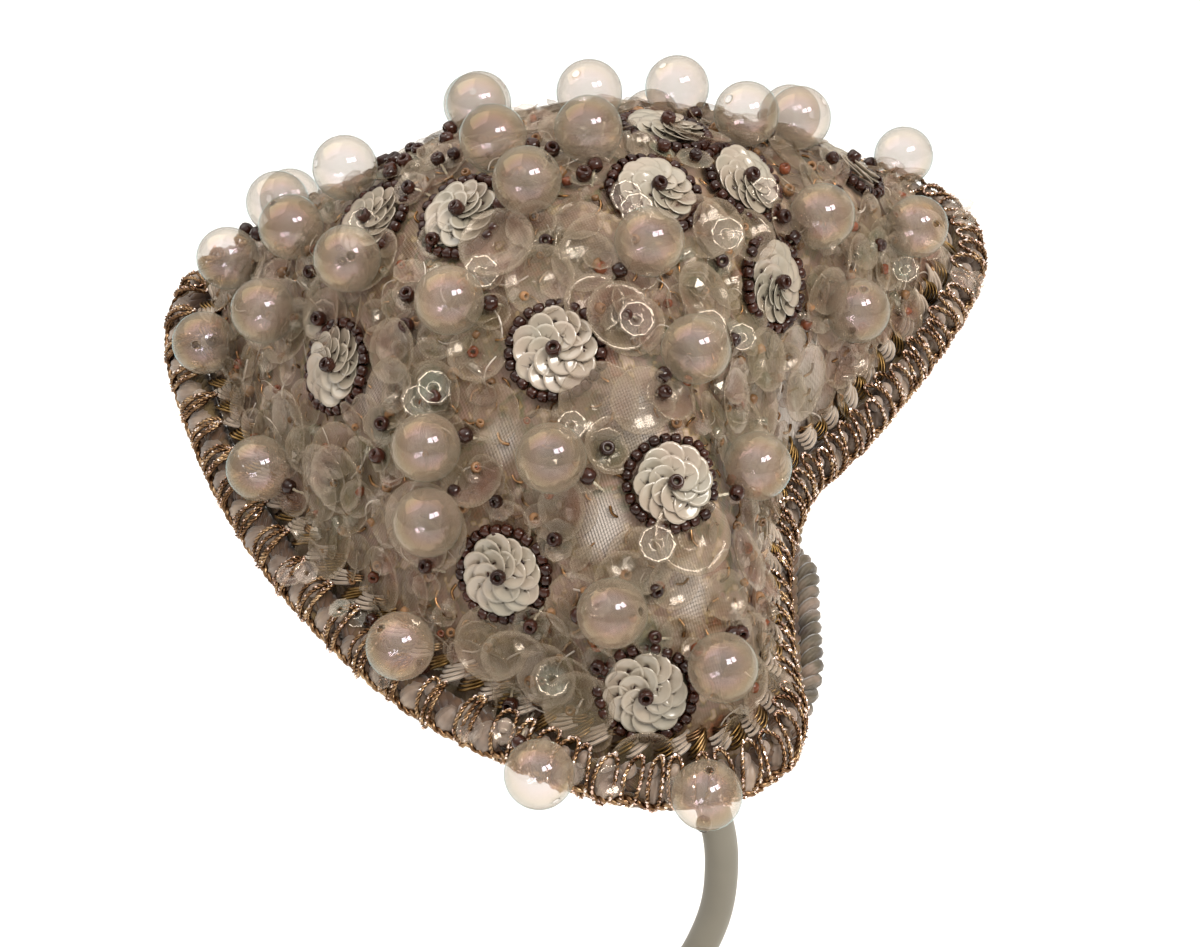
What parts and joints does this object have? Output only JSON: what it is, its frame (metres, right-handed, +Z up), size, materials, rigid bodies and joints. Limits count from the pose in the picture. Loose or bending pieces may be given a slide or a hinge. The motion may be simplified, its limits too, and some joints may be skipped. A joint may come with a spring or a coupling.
{
  "type": "juliet cap on a stand",
  "caption": "Heart-shaped juliet cap of pale satin cloth, covered in bubble beads and sequin rosettes, with a thick rim braid, tilted on a plain stand with a bent stem.",
  "frame": {"origin": "centre of the round base's flat underside, on the surface that it stands on", "axes": "+Z up, -Y towards the camera of the picture, +X to the picture's right; the cap's front notch turns towards +X and its crown tips towards -Y"},
  "size_m": [0.1685, 0.165, 0.2474],
  "materials": {
    "satin_cloth": "pale champagne satin, soft sheen",
    "braid_thread": "satin puffs wrapped with copper metallic thread",
    "cord_thread": "twisted off-white thread",
    "bubble_bead": "clear with an iridescent sheen",
    "sequin": "ivory pearl",
    "stand_paint": "satin olive grey"
  },
  "bodies": {
    "root": {"bubble_bead_01": "bubble_bead", "bubble_bead_02": "bubble_bead", "bubble_bead_03": "bubble_bead", "bubble_bead_04": "bubble_bead", "bubble_bead_05": "bubble_bead", "bubble_bead_06": "bubble_bead", "bubble_bead_07": "bubble_bead", "bubble_bead_08": "bubble_bead", "bubble_bead_09": "bubble_bead", "bubble_bead_10": "bubble_bead", "bubble_bead_11": "bubble_bead", "bubble_bead_12": "bubble_bead", "bubble_bead_13": "bubble_bead", "bubble_bead_14": "bubble_bead", "bubble_bead_15": "bubble_bead", "bubble_bead_16": "bubble_bead", "bubble_bead_17": "bubble_bead", "bubble_bead_18": "bubble_bead", "bubble_bead_19": "bubble_bead", "bubble_bead_20": "bubble_bead", "bubble_bead_21": "bubble_bead", "bubble_bead_22": "bubble_bead", "bubble_bead_23": "bubble_bead", "bubble_bead_24": "bubble_bead", "bubble_bead_25": "bubble_bead", "bubble_bead_26": "bubble_bead", "bubble_bead_27": "bubble_bead", "bubble_bead_28": "bubble_bead", "bubble_bead_29": "bubble_bead", "bubble_bead_30": "bubble_bead", "bubble_bead_31": "bubble_bead", "bubble_bead_32": "bubble_bead", "bubble_bead_33": "bubble_bead", "bubble_bead_34": "bubble_bead", "bubble_bead_35": "bubble_bead", "bubble_bead_36": "bubble_bead", "bubble_bead_37": "bubble_bead", "bubble_bead_38": "bubble_bead", "crown": "satin_cloth", "edge_cord": "cord_thread", "rim_braid": "braid_thread", "rosette_01": "sequin", "rosette_02": "sequin", "rosette_03": "sequin", "rosette_04": "sequin", "rosette_05": "sequin", "rosette_06": "sequin", "rosette_07": "sequin", "rosette_08": "sequin", "rosette_09": "sequin", "rosette_10": "sequin", "rosette_11": "sequin", "rosette_12": "sequin", "rosette_13": "sequin", "rosette_14": "sequin", "rosette_15": "sequin", "stand_base": "stand_paint", "stand_rest": "stand_paint", "stand_stem": "stand_paint"}
  },
  "joints": []
}
